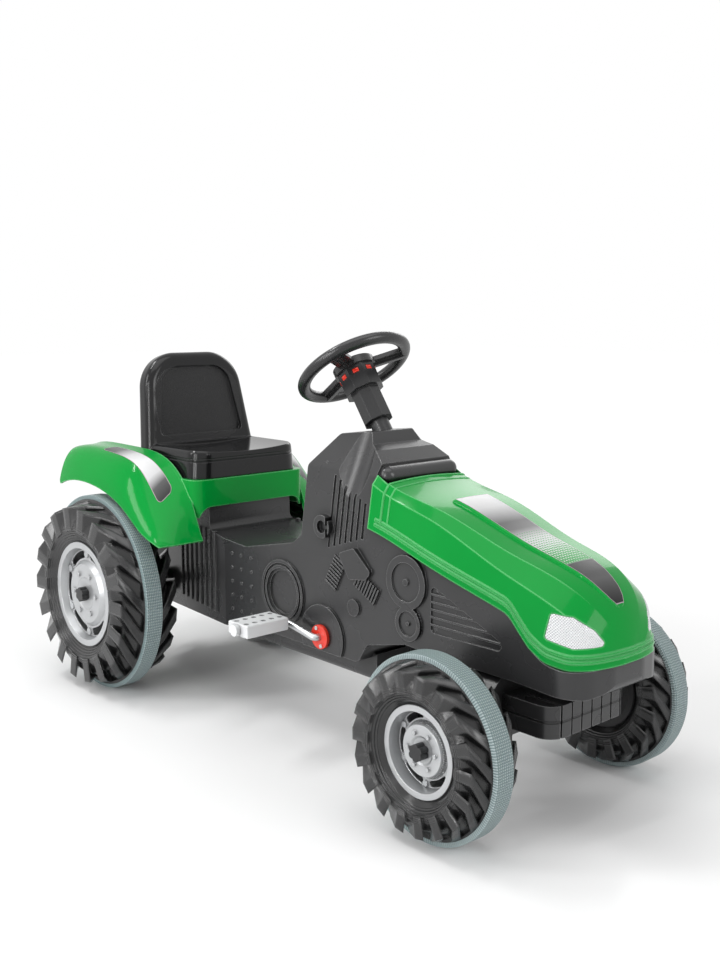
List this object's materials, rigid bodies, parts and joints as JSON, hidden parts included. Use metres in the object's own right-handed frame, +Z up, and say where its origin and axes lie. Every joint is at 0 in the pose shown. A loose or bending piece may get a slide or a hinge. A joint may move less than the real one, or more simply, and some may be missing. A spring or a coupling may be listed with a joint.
{
  "type": "ride-on pedal tractor",
  "caption": "Child's ride-on pedal tractor with a sloping hood, arched rear fenders, raised seat, tilted steering wheel, lugged wheels and a chain drive.",
  "frame": {"origin": "on the ground under the middle of the tractor's length and width", "axes": "+X forwards towards the hood's nose, +Y to the rider's left, +Z up"},
  "size_m": [1.169, 0.506, 0.6456],
  "materials": {
    "body_black": "satin blow-moulded",
    "shell_green": "gloss moulded",
    "lamp_white": "gloss with a fine grid",
    "seat_black": "gloss with a grained inner panel",
    "steering_black": "semi-gloss moulded",
    "red": "gloss moulded",
    "steel": "drawn steel",
    "knuckle_black": "matte moulded",
    "pedal_grey": "matte moulded",
    "tyre_black": "satin blow-moulded",
    "tread_grey": "stippled soft band",
    "rim_silver": "silver painted",
    "disc_black": "matte moulded",
    "cap_black": "matte moulded"
  },
  "bodies": {
    "frame": {"chassis_body": "body_black", "hood": "shell_green", "headlamp_right": "lamp_white", "headlamp_left": "lamp_white", "rear_fender": "shell_green", "seat": "seat_black", "front_bolster": "body_black", "front_weights": "body_black", "kingpins": "steel", "steering_neck": "steering_black", "axle_bushes": "knuckle_black", "crank_flange_right": "red", "crank_flange_left": "red", "flange_screws": "steel", "chain": "steel", "tow_hitch": "steel"},
    "steering": {"steering_wheel": "steering_black", "steering_column": "steering_black", "horn_bellows": "red", "steering_shaft": "steel"},
    "horn": {"horn_button": "steering_black"},
    "knuckle_r": {"knuckle_right": "knuckle_black", "stub_axle_right": "steel", "front_hub_cap_right": "cap_black"},
    "knuckle_l": {"knuckle_left": "knuckle_black", "stub_axle_left": "steel", "front_hub_cap_left": "cap_black"},
    "tie": {"tie_rod": "steel"},
    "front_wheel_r": {"front_tyre_right": "tyre_black", "front_tread_band_right": "tread_grey", "front_rim_right": "rim_silver", "front_inner_disc_right": "disc_black"},
    "front_wheel_l": {"front_tyre_left": "tyre_black", "front_tread_band_left": "tread_grey", "front_rim_left": "rim_silver", "front_inner_disc_left": "disc_black"},
    "crank_set": {"crank": "steel", "crank_sprocket": "steel", "pedal_caps": "pedal_grey"},
    "pedal_r": {"pedal_right": "pedal_grey"},
    "pedal_l": {"pedal_left": "pedal_grey"},
    "rear_axle_set": {"rear_axle": "steel", "axle_sprocket": "steel", "axle_spacers": "knuckle_black", "rear_hub_cap_left": "cap_black", "rear_tyre_right": "tyre_black", "rear_tread_band_right": "tread_grey", "rear_rim_right": "rim_silver", "rear_inner_disc_right": "disc_black", "rear_hub_cap_right": "cap_black"},
    "rear_wheel_l": {"rear_tyre_left": "tyre_black", "rear_tread_band_left": "tread_grey", "rear_rim_left": "rim_silver", "rear_inner_disc_left": "disc_black"}
  },
  "joints": [
    {"name": "steering_turn", "type": "hinge", "parent": "frame", "child": "steering", "pos_m": [0.053, 0, 0.587], "axis": [-0.5793, 0, 0.8151], "range_deg": [-45, 45]},
    {"name": "horn_press", "type": "slide", "parent": "steering", "child": "horn", "axis": [0.5793, 0, -0.8151], "range_m": [0, 0.003], "stiffness_N_per_m": 400, "springref_m": -0.002},
    {"name": "knuckle_right_turn", "type": "hinge", "parent": "frame", "child": "knuckle_r", "pos_m": [0.4175, -0.112, 0.125], "axis": [0, 0, 1], "range_deg": [-17.5, 17.5]},
    {"name": "knuckle_left_turn", "type": "hinge", "parent": "frame", "child": "knuckle_l", "pos_m": [0.4175, 0.112, 0.125], "axis": [0, 0, 1], "range_deg": [-17.5, 17.5]},
    {"name": "tie_rod_turn", "type": "hinge", "parent": "knuckle_l", "child": "tie", "pos_m": [0.30023, 0.112, 0.1528], "axis": [0, 0, 1], "range_deg": [-17.5, 17.5]},
    {"name": "front_wheel_right_spin", "type": "hinge", "parent": "knuckle_r", "child": "front_wheel_r", "pos_m": [0.4175, -0.19, 0.124], "axis": [0, 1, 0], "continuous": true},
    {"name": "front_wheel_left_spin", "type": "hinge", "parent": "knuckle_l", "child": "front_wheel_l", "pos_m": [0.4175, 0.19, 0.124], "axis": [0, 1, 0], "continuous": true},
    {"name": "crank_spin", "type": "hinge", "parent": "frame", "child": "crank_set", "pos_m": [0.0905, 0, 0.18], "axis": [0, 1, 0], "continuous": true},
    {"name": "pedal_right_spin", "type": "hinge", "parent": "crank_set", "child": "pedal_r", "pos_m": [0.0159, -0.166, 0.1945], "axis": [0, 1, 0], "continuous": true},
    {"name": "pedal_left_spin", "type": "hinge", "parent": "crank_set", "child": "pedal_l", "pos_m": [0.1651, 0.166, 0.1655], "axis": [0, 1, 0], "continuous": true},
    {"name": "rear_axle_spin", "type": "hinge", "parent": "frame", "child": "rear_axle_set", "pos_m": [-0.4095, 0, 0.175], "axis": [0, 1, 0], "continuous": true},
    {"name": "rear_wheel_left_spin", "type": "hinge", "parent": "frame", "child": "rear_wheel_l", "pos_m": [-0.4095, 0.198, 0.175], "axis": [0, 1, 0], "continuous": true}
  ],
  "couplings": [
    {"joint": "knuckle_right_turn", "follows": "steering_turn", "ratio": 0.3873},
    {"joint": "knuckle_left_turn", "follows": "steering_turn", "ratio": 0.3873},
    {"joint": "tie_rod_turn", "follows": "steering_turn", "ratio": -0.3873},
    {"joint": "rear_axle_spin", "follows": "crank_spin", "ratio": 1.2857}
  ]
}
